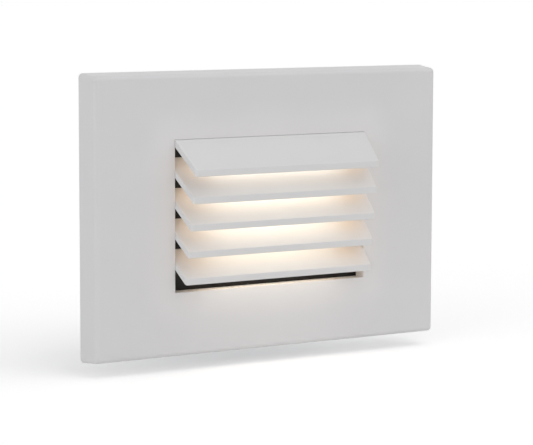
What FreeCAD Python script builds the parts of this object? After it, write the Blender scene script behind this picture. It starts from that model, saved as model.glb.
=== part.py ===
import FreeCAD, Part
import math
import os
import types

import Sketcher

# Louvred LED step light for a horizontal single-gang wall box.
#
# Frame: millimetres, +Z up, +X to the right of someone who faces the light. The wall is the
# plane Y = 0. The faceplate stands out of it towards -Y, the light box goes into it along +Y.
# Heights above the wall are called "out" here: out = -Y, so a place inside the wall box has a
# negative out. The origin lies on the wall, midway between the two screws of the wall box.

SIZES = (
    # name, value, what it measures (millimetres, or degrees or a share where it says so)
    ("plate_width", 127.0, "faceplate, left to right, at the wall"),
    ("plate_height", 88.9, "faceplate, bottom to top, at the wall"),
    ("plate_depth", 8.6, "faceplate, wall to front face"),
    ("plate_draft_angle", 5.55, "degrees, lean of the faceplate's side walls"),
    ("plate_round", 1.35, "radius of the faceplate's front edges and corners"),
    ("front_wall", 2.2, "thickness of the faceplate's front"),
    ("rim_wall", 2.4, "thickness of the faceplate's side walls at the wall"),
    ("opening_width", 70.0, "louvre opening, left to right"),
    ("opening_height", 47.5, "louvre opening, bottom to top"),
    ("lip_depth", 4.4, "depth of the opening's inner wall"),
    ("lip_wall", 2.2, "thickness of the opening's inner wall"),
    ("plate_boss_radius", 3.2, "screw bosses behind the faceplate"),
    ("plate_rib_wall", 1.5, "thickness of the stiffening ribs behind the faceplate"),
    ("plate_rib_z", 19.0, "those ribs, above and below the middle"),
    ("blade_pitch", 9.52, "upper surface to upper surface, in the plane of the front face"),
    ("blade_slope_angle", 38.95, "degrees, fall of the blades towards the front"),
    ("blade_face", 2.3, "height of a blade's upright front edge"),
    ("blade_reach", 10.7, "how far the top blade stands out of the front face"),
    ("blade_reach_step", 1.3, "how much less each lower blade stands out"),
    ("blade_side_gap", 0.06, "between a blade's end and the opening"),
    ("blade_top_gap", 0.03, "between the top blade and the opening"),
    ("blade_end_draft_angle", 8.2, "degrees, narrowing of the blades in front of the faceplate"),
    ("blade_corner_round", 0.8, "radius of a blade's front corners"),
    ("blade_edge_round", 0.25, "radius of a blade's front edges"),
    ("blade_bend_round", 1.0, "radius of the top blade's bend at the front face"),
    ("blade_tongue_inset", 2.0, "how much narrower a blade is, each side, in the louvre frame"),
    ("frame_wall", 1.3, "thickness of the louvre frame"),
    ("frame_step_x", 5.7, "how much narrower the frame's window is than the opening, each side"),
    ("frame_step_z", 3.75, "how much lower the frame's window is than the opening, each side"),
    ("slot_gap", 0.1, "round each blade in its slot of the louvre frame"),
    ("flange_margin_x", 2.5, "louvre frame and housing flange, beside the opening"),
    ("flange_margin_z", 8.25, "louvre frame and housing flange, above and below the opening"),
    ("flange_wall", 1.7, "thickness of the housing flange"),
    ("housing_screw_x", 24.0, "screws of the housing, from the middle"),
    ("housing_screw_edge", 3.3, "screws of the housing, from the flange's upper and lower edges"),
    ("flange_step_x", 2.0, "how far the flange stands out beside the light box"),
    ("flange_step_z", 8.0, "how far the flange stands out above and below the light box"),
    ("housing_wall", 2.2, "side walls of the light box"),
    ("housing_round", 3.0, "upright corner radius of the light box"),
    ("ledge", 2.2, "ledge that the lens gasket sits on"),
    ("light_depth", 18.8, "light space between the ledge and the heat-spreading web"),
    ("web", 3.0, "heat-spreading web between the light space and the driver"),
    ("driver_depth", 17.0, "driver space behind the web"),
    ("cover_post_radius", 2.9, "posts for the screws of the rear cover"),
    ("lens_wall", 3.0, "thickness of the lens"),
    ("lens_gap", 0.1, "round the lens in its gasket, and the gasket in the housing"),
    ("gasket_side", 0.7, "thickness of the gasket beside the lens"),
    ("gasket_face", 0.8, "thickness of the gasket in front of the lens and behind it"),
    ("reflector_wall", 1.2, "thickness of the reflector"),
    ("led_window_gap_x", 2.75, "between the outer LEDs and the window in the reflector's floor"),
    ("led_window_gap_z", 1.9, "between the LED rows and that window"),
    ("reflector_floor_x", 3.5, "the reflector's floor, beside that window"),
    ("reflector_floor_z", 3.5, "the reflector's floor, above and below that window"),
    ("board_wall", 1.6, "thickness of both circuit boards"),
    ("led_board_width", 56.0, "LED board, left to right"),
    ("led_board_height", 24.0, "LED board, bottom to top"),
    ("led_width", 3.5, "LED package, left to right"),
    ("led_height", 2.8, "LED package, bottom to top"),
    ("led_thickness", 0.8, "LED package, board to lens side"),
    ("led_dish_radius", 1.06, "phosphor dish of an LED package"),
    ("led_dish_depth", 0.24, "phosphor dish of an LED package"),
    ("led_pitch_x", 7.0, "LED to LED, left to right"),
    ("led_pitch_z", 6.4, "LED row to LED row"),
    ("pad_wall", 0.5, "thickness of the thermal pad"),
    ("pad_screw_gap", 2.0, "between the thermal pad and the middle of the LED board's screws"),
    ("led_board_screw_inset", 6.0, "screws of the LED board, from its ends"),
    ("lead_inset", 3.4, "leads to the LED board, from its right end"),
    ("lead_pitch", 5.0, "lead to lead"),
    ("lead_radius", 0.7, "leads to the LED board"),
    ("lead_hole_gap", 0.3, "round each lead in the web and the tray"),
    ("tray_wall", 0.6, "thickness of the insulating tray"),
    ("tray_gap", 0.3, "round the tray in the driver space"),
    ("tray_depth", 15.8, "insulating tray, front to back"),
    ("standoff", 3.0, "from the tray's floor to the driver board"),
    ("standoff_radius", 2.4, "pillars under the driver board"),
    ("driver_screw_x", 22.5, "screws of the driver board, from the middle"),
    ("driver_screw_z", 16.5, "screws of the driver board, above and below the middle"),
    ("board_gap", 0.4, "round the driver board in its tray"),
    ("layout_width", 52.4, "width of the driver board that the places of its parts are given for"),
    ("cover_gasket_wall", 0.8, "thickness of the rear cover's gasket"),
    ("cover_wall", 1.5, "thickness of the rear cover"),
    ("grommet_hole_radius", 5.5, "hole for the grommet in the rear cover"),
    ("grommet_hole_gap", 0.05, "between the grommet's neck and that hole"),
    ("grommet_bore_radius", 3.4, "bore of the grommet, for the supply leads"),
    ("grommet_flange", 1.6, "how far the grommet's collars stand out of the hole's edge"),
    ("grommet_collar", 1.6, "thickness of each collar of the grommet"),
    ("bracket_wall", 1.2, "thickness of the mounting bracket"),
    ("bracket_ear", 8.33, "mounting bracket, from a wall box screw to its end"),
    ("bracket_rim_gap", 3.45, "between the bracket's folds and the faceplate's side walls"),
    ("bracket_fold_width", 60.0, "folded flanges of the bracket, left to right"),
    ("bracket_fold_depth", 4.4, "folded flanges of the bracket, out of its face"),
    ("bracket_window_gap", 0.8, "round the light box in the bracket's window"),
    ("box_screw_gap", 4.17, "middle of a wall box screw, beside the flange: 83.34 screw to screw"),
    ("box_slot_width", 3.8, "slots for the wall box's screws, across"),
    ("box_slot_length", 7.0, "slots for the wall box's screws, end to end"),
    ("box_screw_radius", 1.72, "threaded shank of a wall box screw"),
    ("box_screw_neck_radius", 1.5, "bare neck of a wall box screw, in the bracket's slot"),
    ("box_screw_length", 24.0, "shank of a wall box screw, with its neck"),
    ("box_screw_head_radius", 3.3, "head of a wall box screw"),
    ("box_screw_head", 2.1, "height of a wall box screw's head"),
    ("fold_round", 1.0, "outer radius of the bracket's folds"),
    ("fold_relief", 1.6, "how much lower the bracket is beside its folds"),
    ("bracket_corner_round", 3.0, "corners of the bracket"),
    ("head_gap", 0.6, "round the housing screws' heads in the bracket"),
    ("hang_width", 6.0, "ribs that rest on the bracket's upper flange, and screw blocks"),
    ("hang_x", 22.0, "those ribs and blocks, from the middle"),
    ("hang_gap", 0.1, "between those ribs and the bracket's upper flange"),
    ("block_gap", 0.4, "between the screw blocks and the bracket's lower flange"),
    ("set_screw_radius", 1.5, "set screws"),
    ("set_screw_out", 3.6, "set screws, in front of the wall"),
    ("set_screw_socket_radius", 0.82, "hexagon socket of the set screws, to its corners"),
    ("set_screw_socket_depth", 1.8, "hexagon socket of the set screws"),
    ("set_screw_sink", 0.3, "how deep the set screws sit in the plate's bottom edge"),
    ("set_screw_tip_gap", 0.05, "between a set screw's tip and the bracket"),
    ("wall_gasket_wall", 1.5, "thickness of the foam wall gasket"),
    ("wall_gasket_width", 2.8, "width of the foam wall gasket"),
    ("ground_inset_x", 6.0, "earth screw, from the bracket's left end"),
    ("ground_inset_z", 10.6, "earth screw, from the bracket's folded lower edge"),
    ("ground_radius", 2.0, "shank of the earth screw"),
    ("ground_head_radius", 3.5, "head of the earth screw"),
    ("ground_head", 2.2, "height of the earth screw's head"),
    ("ground_tip_gap", 0.2, "between the earth screw's tip and the wall"),
    ("ground_seat", 1.8, "raised seat of the earth screw, off the bracket's face"),
    ("ground_seat_radius", 4.4, "raised seat of the earth screw"),
    ("machine_screw_radius", 1.4, "shanks of the housing screws"),
    ("machine_head_radius", 2.5, "heads of the housing screws"),
    ("machine_head", 1.2, "height of the housing screws' heads"),
    ("small_screw_radius", 1.1, "shanks of the board and cover screws"),
    ("small_head_radius", 2.1, "heads of the board and cover screws"),
    ("small_head", 1.4, "height of the board and cover screws' heads"),
    ("recess_reach", 0.55, "share of a screw head's radius that its crossed recess reaches"),
    ("recess_half_width", 0.13, "share of a screw head's radius, half the recess's width"),
    ("recess_floor", 0.4, "share of a screw head's height that is left under the recess"),
    ("transformer_x", 6.0, "transformer, right of the middle"),
    ("transformer_z", 3.5, "transformer, above the middle"),
    ("transformer_width", 20.0, "transformer core, left to right"),
    ("transformer_height", 17.0, "transformer core, bottom to top"),
    ("transformer_depth", 9.6, "transformer core, off the board"),
    ("transformer_leg", 4.0, "legs and yokes of the transformer core"),
    ("capacitor_radius", 4.0, "round capacitors"),
    ("capacitor_depth", 10.0, "round capacitors, off the board"),
    ("capacitor_x", 13.0, "round capacitors, left and right of the middle"),
    ("capacitor_low_z", 14.0, "output capacitor, below the middle"),
    ("capacitor_high_z", 9.6, "upper smoothing capacitor, above the middle"),
    ("capacitor_pitch", 9.2, "upper smoothing capacitor to the one below it"),
    ("can_groove_place", 1.4, "groove round a capacitor's can, off the board"),
    ("can_groove_width", 0.6, "groove round a capacitor's can, along it"),
    ("can_groove_depth", 0.3, "groove round a capacitor's can"),
    ("can_score_reach", 2.4, "vent score in a can's top, from its middle"),
    ("can_score_half_width", 0.15, "half the width of the vent score"),
    ("can_score_depth", 0.2, "vent score in a can's top"),
    ("line_capacitor_x", 12.5, "box-shaped capacitor, left of the middle"),
    ("line_capacitor_z", 14.5, "box-shaped capacitor, below the middle"),
    ("line_capacitor_width", 13.0, "box-shaped capacitor, left to right"),
    ("line_capacitor_height", 6.0, "box-shaped capacitor, bottom to top"),
    ("line_capacitor_depth", 9.0, "box-shaped capacitor, off the board"),
    ("case_round", 0.5, "edges of the moulded cases on the driver board"),
    ("choke_x", 0.5, "choke, right of the middle"),
    ("choke_z", 13.5, "choke, below the middle"),
    ("choke_radius", 4.4, "end discs of the choke"),
    ("choke_core_radius", 3.2, "winding of the choke"),
    ("choke_depth", 9.0, "choke, off the board"),
    ("choke_disc", 1.2, "thickness of the choke's end discs"),
    ("bridge_x", 21.8, "bridge rectifier, left of the middle"),
    ("bridge_z", 5.0, "bridge rectifier, above the middle"),
    ("bridge_width", 5.0, "bridge rectifier, left to right"),
    ("bridge_height", 6.6, "bridge rectifier, bottom to top"),
    ("bridge_depth", 2.5, "bridge rectifier, off the board"),
    ("chip_x", 20.8, "control chip, right of the middle"),
    ("chip_z", 9.0, "control chip, below the middle"),
    ("chip_width", 4.0, "control chip, left to right"),
    ("chip_height", 5.0, "control chip, bottom to top"),
    ("chip_depth", 1.5, "control chip, off the board"),
    ("chip_underside", 0.2, "between the chip's case and the board"),
    ("chip_leg_x", 2.2, "middle of the chip's legs, left and right of its own middle"),
    ("chip_leg_pitch", 1.2, "leg to leg of the chip"),
    ("chip_leg_half_length", 0.48, "half a leg of the chip, left to right"),
    ("chip_leg_half_width", 0.2, "half a leg of the chip, bottom to top"),
    ("chip_leg_height", 0.75, "legs of the chip, off the board"),
    ("fuse_x", 20.4, "fuse, left of the middle"),
    ("fuse_z", 16.6, "fuse, above the middle"),
    ("fuse_length", 8.4, "fuse, end to end"),
    ("fuse_radius", 1.7, "fuse"),
    ("fuse_cap_radius", 1.9, "metal ends of the fuse"),
    ("fuse_cap", 1.6, "length of each metal end of the fuse"),
    ("screw_hole_depth", 2.6, "blind holes for the board and housing screws"),
    ("screw_bite", 2.08, "how deep those screws go into their holes"),
    ("cover_hole_depth", 5.2, "blind holes for the cover screws"),
    ("cover_bite", 3.9, "how deep the cover screws go into their holes"),
    ("thread_gap", 0.02, "round a screw in its threaded hole"),
    ("clear_gap", 0.3, "round a screw in a plain hole"),
    ("overshoot", 1.0, "how far a cut reaches past a face that it goes through"),
)

BLADE_COUNT = 5
LEDS_PER_ROW = 4
LED_ROWS = 2
CHIP_LEGS_PER_SIDE = 4
BEYOND = 1.2  # how many times farther than needed a slanted cut reaches
TOLERANCE = 1e-4  # millimetres, or square or cubic millimetres

DOCUMENT = FreeCAD.newDocument("step_light")
SHEET = DOCUMENT.addObject("Spreadsheet::Sheet", "Sizes")
for row, (name, value, words) in enumerate(SIZES, start=1):
    SHEET.set(f"A{row}", words)
    SHEET.set(f"B{row}", str(value))
    SHEET.setAlias(f"B{row}", name)
DOCUMENT.recompute()

SUBPARTS = []


class Size:
    """A number from the sheet, or worked out from it, with the formula that binds it."""

    def __init__(self, formula, value):
        self.formula = formula
        self.value = value

    def __add__(self, other):
        other = as_size(other)
        return Size(f"({self.formula} + {other.formula})", self.value + other.value)

    def __sub__(self, other):
        other = as_size(other)
        return Size(f"({self.formula} - {other.formula})", self.value - other.value)

    def __mul__(self, other):
        other = as_size(other)
        return Size(f"({self.formula} * {other.formula})", self.value * other.value)

    def __truediv__(self, other):
        other = as_size(other)
        return Size(f"({self.formula} / {other.formula})", self.value / other.value)

    def __neg__(self):
        return as_size(0) - self


def as_size(number):
    return number if isinstance(number, Size) else Size(repr(float(number)), float(number))


def tangent(angle):
    return Size(f"tan({angle.formula} * 1 deg)", math.tan(math.radians(angle.value)))


size = types.SimpleNamespace(**{name: Size(f"Sizes.{name}", value) for name, value, words in SIZES})

# Planes that several sub-parts share, as heights out of the wall.
front = size.plate_depth
frame_front = front - size.lip_depth
frame_back = frame_front - size.frame_wall
flange_back = frame_back - size.flange_wall
gasket_back = frame_back - size.gasket_face * 2 - size.lens_wall
lens_back = gasket_back + size.gasket_face
lens_front = lens_back + size.lens_wall
web_front = gasket_back - size.light_depth
web_back = web_front - size.web
housing_back = web_back - size.driver_depth
cover_front = housing_back - size.cover_gasket_wall
cover_back = cover_front - size.cover_wall
led_board_back = web_front + size.pad_wall
led_board_front = led_board_back + size.board_wall
tray_back = web_back - size.tray_wall
driver_board_front = tray_back - size.standoff
driver_board_back = driver_board_front - size.board_wall
pan_floor = front - size.front_wall

# Half widths and half heights that several sub-parts share.
plate_x = size.plate_width / 2
plate_z = size.plate_height / 2
pan_x = plate_x - size.rim_wall
pan_z = plate_z - size.rim_wall
opening_x = size.opening_width / 2
opening_z = size.opening_height / 2
frame_window_x = opening_x - size.frame_step_x
frame_window_z = opening_z - size.frame_step_z
flange_x = opening_x + size.flange_margin_x
flange_z = opening_z + size.flange_margin_z
housing_screw_z = flange_z - size.housing_screw_edge
housing_x = flange_x - size.flange_step_x
housing_z = flange_z - size.flange_step_z
recess_x = housing_x - size.housing_wall
recess_z = housing_z - size.housing_wall
ledge_x = recess_x - size.ledge
ledge_z = recess_z - size.ledge
driver_x = housing_x - size.housing_wall
driver_z = housing_z - size.housing_wall
post_x = driver_x - size.cover_post_radius
post_z = driver_z - size.cover_post_radius
box_screw_x = flange_x + size.box_screw_gap
bracket_x = box_screw_x + size.bracket_ear
bracket_z = pan_z - size.bracket_rim_gap
ground_x = bracket_x - size.ground_inset_x
ground_z = bracket_z - size.ground_inset_z
led_board_x = size.led_board_width / 2
led_board_z = size.led_board_height / 2
led_screw_x = led_board_x - size.led_board_screw_inset
lead_x = led_board_x - size.lead_inset
led_window_x = size.led_pitch_x * (LEDS_PER_ROW - 1) / 2 + size.led_width / 2 + size.led_window_gap_x
led_window_z = size.led_pitch_z * (LED_ROWS - 1) / 2 + size.led_height / 2 + size.led_window_gap_z
tray_x = post_x - size.cover_post_radius - size.tray_gap
tray_z = driver_z - size.tray_gap
driver_board_x = tray_x - size.tray_wall - size.board_gap
driver_board_z = tray_z - size.tray_wall - size.board_gap
spread = driver_board_x * 2 / size.layout_width
driver_screw_x = size.driver_screw_x * spread


# ---------------------------------------------------------------- drawing helpers

def keep(shape_object, label):
    """Notes a finished sub-part under the name of its file."""
    shape_object.Label = label
    SUBPARTS.append(shape_object)
    return shape_object


def new_body(name):
    return DOCUMENT.addObject("PartDesign::Body", name)


def sketch_on(body, role, offset, name):
    """A sketch on one of the body's own planes, moved along the plane's normal."""
    sketch = body.newObject("Sketcher::SketchObject", name)
    plane = [item for item in body.Origin.OriginFeatures if item.Role == role][0]
    sketch.AttachmentSupport = [(plane, "")]
    sketch.MapMode = "FlatFace"
    offset = as_size(offset)
    sketch.AttachmentOffset = FreeCAD.Placement(FreeCAD.Vector(0, 0, offset.value), FreeCAD.Rotation())
    sketch.setExpression("AttachmentOffset.Base.z", offset.formula)
    return sketch


def tie(sketch, kind, target, place):
    number = sketch.addConstraint(Sketcher.Constraint(kind, *target, place.value))
    sketch.setExpression(f"Constraints[{number}]", place.formula)


def outline(sketch, points):
    """Closed straight edges through the points, each point tied to the sheet."""
    points = [(as_size(across), as_size(up)) for across, up in points]
    first = sketch.GeometryCount
    corners = [FreeCAD.Vector(across.value, up.value, 0) for across, up in points]
    for start, end in zip(corners, corners[1:] + corners[:1]):
        sketch.addGeometry(Part.LineSegment(start, end), False)
    for index in range(len(points)):
        following = first + (index + 1) % len(points)
        sketch.addConstraint(Sketcher.Constraint("Coincident", first + index, 2, following, 1))
    for index, (across, up) in enumerate(points):
        tie(sketch, "DistanceX", (-1, 1, first + index, 1), across)
        tie(sketch, "DistanceY", (-1, 1, first + index, 1), up)


def rectangle(sketch, half_across, half_up, across=0, up=0):
    across, up = as_size(across), as_size(up)
    outline(sketch, (
        (across - half_across, up - half_up),
        (across + half_across, up - half_up),
        (across + half_across, up + half_up),
        (across - half_across, up + half_up),
    ))


def circle(sketch, across, up, radius):
    across, up, radius = as_size(across), as_size(up), as_size(radius)
    centre = FreeCAD.Vector(across.value, up.value, 0)
    index = sketch.addGeometry(Part.Circle(centre, FreeCAD.Vector(0, 0, 1), radius.value), False)
    tie(sketch, "DistanceX", (-1, 1, index, 3), across)
    tie(sketch, "DistanceY", (-1, 1, index, 3), up)
    tie(sketch, "Radius", (index,), radius)


def long_slot(sketch, across, up, half_straight, radius):
    """A slot with round ends, lying along the sketch's first axis."""
    across, up = as_size(across), as_size(up)
    normal = FreeCAD.Vector(0, 0, 1)
    left, right = across - half_straight, across + half_straight
    ends = ((right, -math.pi / 2, math.pi / 2), (left, math.pi / 2, 3 * math.pi / 2))
    arcs = []
    for centre, start, stop in ends:
        ring = Part.Circle(FreeCAD.Vector(centre.value, up.value, 0), normal, radius.value)
        arcs.append(sketch.addGeometry(Part.ArcOfCircle(ring, start, stop), False))
    edges = []
    for side, start, end in ((1, right, left), (-1, left, right)):
        height = up.value + side * radius.value
        line = Part.LineSegment(FreeCAD.Vector(start.value, height, 0), FreeCAD.Vector(end.value, height, 0))
        edges.append(sketch.addGeometry(line, False))
    for arc, arc_end, edge, edge_end in (
            (arcs[0], 2, edges[0], 1), (arcs[1], 1, edges[0], 2),
            (arcs[1], 2, edges[1], 1), (arcs[0], 1, edges[1], 2)):
        sketch.addConstraint(Sketcher.Constraint("Tangent", arc, arc_end, edge, edge_end))
    sketch.addConstraint(Sketcher.Constraint("Horizontal", edges[0]))
    for arc, centre in zip(arcs, (right, left)):
        tie(sketch, "DistanceX", (-1, 1, arc, 3), centre)
    tie(sketch, "DistanceY", (-1, 1, arcs[0], 3), up)
    tie(sketch, "Radius", (arcs[0],), radius)


def pad(body, draw, low, high, name):
    """Adds what draw puts in a sketch, between two heights out of the wall."""
    sketch = sketch_on(body, "XZ_Plane", low, f"{name}_sketch")
    draw(sketch)
    feature = body.newObject("PartDesign::Pad", name)
    feature.Profile = sketch
    feature.setExpression("Length", (as_size(high) - low).formula)
    return feature


def pocket(body, draw, low, high, name):
    """Cuts away what draw puts in a sketch, between two heights out of the wall."""
    sketch = sketch_on(body, "XZ_Plane", high, f"{name}_sketch")
    draw(sketch)
    feature = body.newObject("PartDesign::Pocket", name)
    feature.Profile = sketch
    feature.setExpression("Length", (as_size(high) - low).formula)
    DOCUMENT.recompute()
    before = feature.BaseFeature.Shape.Volume
    if feature.Shape.Volume > before - TOLERANCE:
        raise RuntimeError(f"{name} cuts nothing")
    return feature


def round_edges(body, radius, test, name):
    """Rounds the edges of the body's last feature that pass the test."""
    DOCUMENT.recompute()
    base = body.Tip
    chosen = [f"Edge{number}" for number, edge in enumerate(base.Shape.Edges, start=1) if test(edge)]
    feature = body.newObject("PartDesign::Fillet", name)
    feature.Base = (base, chosen)
    feature.setExpression("Radius", radius.formula)
    DOCUMENT.recompute()
    return feature


def near(first, second):
    return abs(first - second) < TOLERANCE


def is_depth_edge(edge):
    """True for a straight edge that runs more or less from the front to the back."""
    if edge.Curve.TypeId != "Part::GeomLine":
        return False
    start, end = edge.Vertexes[0].Point, edge.Vertexes[-1].Point
    return abs(start.y - end.y) > start.distanceToPoint(end) / 2


def place(solid, spots):
    """Binds the solid's position along X, Y and Z."""
    for axis, spot in zip("xyz", spots):
        solid.setExpression(f"Placement.Base.{axis}", as_size(spot).formula)


def block(name, across, low, high, up, half_across, half_up):
    """A box between two heights out of the wall, centred on a place in front of it."""
    solid = DOCUMENT.addObject("Part::Box", name)
    half_across, half_up = as_size(half_across), as_size(half_up)
    solid.setExpression("Length", (half_across * 2).formula)
    solid.setExpression("Width", (as_size(high) - low).formula)
    solid.setExpression("Height", (half_up * 2).formula)
    place(solid, (as_size(across) - half_across, -as_size(high), as_size(up) - half_up))
    return solid


def rod(name, across, low, high, up, radius):
    """A cylinder between two heights out of the wall."""
    solid = DOCUMENT.addObject("Part::Cylinder", name)
    solid.setExpression("Radius", as_size(radius).formula)
    solid.setExpression("Height", (as_size(high) - low).formula)
    solid.Placement = FreeCAD.Placement(FreeCAD.Vector(), FreeCAD.Rotation(FreeCAD.Vector(1, 0, 0), 90))
    place(solid, (across, -as_size(low), up))
    return solid


def join(name, solids):
    fused = DOCUMENT.addObject("Part::MultiFuse", name)
    fused.Shapes = solids
    fused.Refine = True
    return fused


def cut(name, base, tools):
    feature = DOCUMENT.addObject("Part::Cut", name)
    feature.Base = base
    feature.Tool = tools[0] if len(tools) == 1 else join(f"{name}_tools", tools)
    return feature


def group(label, solids):
    """Several alike solids that share one node."""
    compound = DOCUMENT.addObject("Part::Compound", label)
    compound.Links = solids
    return keep(compound, label)


def corners(across, up):
    """The four places at plus and minus across and up."""
    return [(across * side, up * level) for side in (-1, 1) for level in (-1, 1)]


def screw(name, across, up, under_head, tip, radius, head_radius, head_height):
    """A pan-head screw along Y with a crossed recess; its head is at the end away from the tip."""
    towards_front = under_head.value > tip.value
    head_end = under_head + head_height if towards_front else under_head - head_height
    shank_ends = (tip, under_head) if towards_front else (under_head, tip)
    head_ends = (under_head, head_end) if towards_front else (head_end, under_head)
    shank = rod(f"{name}_shank", across, *shank_ends, up, radius)
    head = rod(f"{name}_head", across, *head_ends, up, head_radius)
    recess_floor = under_head + (head_end - under_head) * size.recess_floor
    recess_ends = (recess_floor, head_end) if towards_front else (head_end, recess_floor)
    reach, half_width = head_radius * size.recess_reach, head_radius * size.recess_half_width
    wings = [
        block(f"{name}_recess_across", across, *recess_ends, up, reach, half_width),
        block(f"{name}_recess_up", across, *recess_ends, up, half_width, reach),
    ]
    return cut(name, join(f"{name}_blank", [shank, head]), wings)


# ---------------------------------------------------------------- faceplate

def lean_sides(body, role, half, half_length, name):
    """Cuts two opposite side walls of the faceplate's blank to their lean."""
    beyond = front * BEYOND
    inset = tangent(size.plate_draft_angle) * beyond
    sketch = sketch_on(body, role, half_length, f"{name}_sketch")
    for side in (-1, 1):
        wedge = (
            (half * side, as_size(0)),
            ((half - inset) * side, -beyond),
            (half * BEYOND * side, -beyond),
        )
        seen_from_side = [(along, beside) for beside, along in wedge]
        outline(sketch, wedge if role == "XY_Plane" else seen_from_side)
    feature = body.newObject("PartDesign::Pocket", name)
    feature.Profile = sketch
    feature.setExpression("Length", (half_length * 2).formula)


def make_faceplate():
    body = new_body("Faceplate")
    pad(body, lambda sketch: rectangle(sketch, plate_x, plate_z), as_size(0), front, "PlateBlank")
    lean_sides(body, "XY_Plane", plate_x, plate_z, "LeanLeftAndRight")
    lean_sides(body, "YZ_Plane", plate_z, plate_x, "LeanTopAndBottom")

    def is_outer_edge(edge):
        return is_depth_edge(edge) or all(near(-vertex.Y, front.value) for vertex in edge.Vertexes)

    round_edges(body, size.plate_round, is_outer_edge, "PlateRounds")
    pocket(body, lambda sketch: rectangle(sketch, pan_x, pan_z), as_size(0), pan_floor, "PanHollow")

    lip_x = opening_x + size.lip_wall
    lip_z = opening_z + size.lip_wall
    overlap = pan_floor + size.front_wall / 2
    pad(body, lambda sketch: rectangle(sketch, lip_x, lip_z), frame_front, overlap, "OpeningLip")

    def draw_bosses(sketch):
        for across, up in corners(size.housing_screw_x, housing_screw_z):
            circle(sketch, across, up, size.plate_boss_radius)

    pad(body, draw_bosses, frame_front, overlap, "ScrewBosses")

    bite = size.rim_wall / 4  # how far ribs and blocks run into the walls that they join

    def draw_ribs(sketch):
        rib_middle = (lip_x + pan_x) / 2
        rib_half = (pan_x - lip_x) / 2 + bite
        for across, up in corners(rib_middle, size.plate_rib_z):
            rectangle(sketch, rib_half, size.plate_rib_wall / 2, across, up)

    pad(body, draw_ribs, frame_front, overlap, "StiffeningRibs")

    hang_foot = bracket_z + size.hang_gap
    block_foot = bracket_z + size.block_gap

    def draw_hangers(sketch):
        half = (pan_z + bite - hang_foot) / 2
        for side in (-1, 1):
            rectangle(sketch, size.hang_width / 2, half, size.hang_x * side, hang_foot + half)

    def draw_screw_blocks(sketch):
        half = (pan_z + bite - block_foot) / 2
        for side in (-1, 1):
            rectangle(sketch, size.hang_width / 2, half, size.hang_x * side, -(block_foot + half))

    pad(body, draw_hangers, size.wall_gasket_wall, overlap, "HangingRibs")
    pad(body, draw_screw_blocks, size.wall_gasket_wall, overlap, "SetScrewBlocks")
    pocket(body, lambda sketch: rectangle(sketch, opening_x, opening_z), as_size(0), front + size.overshoot,
           "Opening")

    def draw_pilots(sketch):
        for across, up in corners(size.housing_screw_x, housing_screw_z):
            circle(sketch, across, up, size.machine_screw_radius + size.thread_gap)

    pocket(body, draw_pilots, frame_front - size.overshoot, frame_front + size.screw_hole_depth, "ScrewPilots")

    sketch = sketch_on(body, "XY_Plane", -plate_z - size.overshoot, "SetScrewHoles_sketch")
    for side in (-1, 1):
        circle(sketch, size.hang_x * side, -size.set_screw_out, size.set_screw_radius + size.thread_gap)
    holes = body.newObject("PartDesign::Pocket", "SetScrewHoles")
    holes.Profile = sketch
    holes.Reversed = True
    holes.setExpression("Length", (plate_z + size.overshoot - bracket_z).formula)
    return keep(body, "faceplate")


def make_wall_gasket():
    """Foam ring inside the rim of the faceplate, pressed on the wall."""
    body = new_body("WallGasket")
    thickness = size.wall_gasket_wall
    pad(body, lambda sketch: rectangle(sketch, pan_x, pan_z), as_size(0), thickness, "GasketBlank")
    inner_x = pan_x - size.wall_gasket_width
    inner_z = pan_z - size.wall_gasket_width
    pocket(body, lambda sketch: rectangle(sketch, inner_x, inner_z), -size.overshoot,
           thickness + size.overshoot, "GasketHole")
    return keep(body, "wall_gasket")


def make_set_screws():
    """Two headless hexagon-socket screws, from the plate's bottom edge to the bracket's flange."""
    draft_at_screw = tangent(size.plate_draft_angle) * size.set_screw_out
    low = -plate_z + draft_at_screw + size.set_screw_sink
    high = -bracket_z - size.set_screw_tip_gap
    screws = []
    for side, words in ((-1, "Left"), (1, "Right")):
        name = f"SetScrew{words}"
        shank = DOCUMENT.addObject("Part::Cylinder", f"{name}_shank")
        shank.setExpression("Radius", size.set_screw_radius.formula)
        shank.setExpression("Height", (high - low).formula)
        socket = DOCUMENT.addObject("Part::Prism", f"{name}_socket")
        socket.Polygon = 6
        socket.setExpression("Circumradius", size.set_screw_socket_radius.formula)
        socket.setExpression("Height", size.set_screw_socket_depth.formula)
        for solid in (shank, socket):
            place(solid, (size.hang_x * side, -size.set_screw_out, low))
        screws.append(cut(name, shank, [socket]))
    group("set_screws", screws)


# ---------------------------------------------------------------- louvre

def blade_reach(index):
    """How far a blade stands out of the front face; blade 0 is the top one."""
    return size.blade_reach - size.blade_reach_step * index


def blade_top(index):
    """Height of a blade's upper surface in the plane of the front face."""
    return opening_z - size.blade_top_gap - size.blade_pitch * index


def blade_section(index, gap):
    """Side view of a blade as (Y, Z) points, made larger by the gap, from its front to its root.

    The blades fall towards the front. The top blade would run into the top of the opening, so
    behind the front face it goes straight back instead.
    """
    fall = tangent(size.blade_slope_angle)
    reach = blade_reach(index)
    top = blade_top(index) + gap
    bottom = blade_top(index) - size.blade_face - gap
    tip_y = -(front + reach)
    root_y = -frame_back + gap
    rise = fall * 0 if index == 0 else fall * (front - frame_back + gap)
    return (
        (tip_y, bottom - fall * reach),
        (-front, bottom),
        (root_y, bottom + rise),
        (root_y, top + rise),
        (-front, top),
        (tip_y, top - fall * reach),
    )


def blade_body_x():
    return opening_x - size.blade_side_gap


def blade_tongue_x():
    return blade_body_x() - size.blade_tongue_inset


def straight_through(points, index):
    """Leaves out the corner points of a lower blade, which lie on its straight faces."""
    return points if index == 0 else tuple(points[number] for number in (0, 2, 3, 5))


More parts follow.
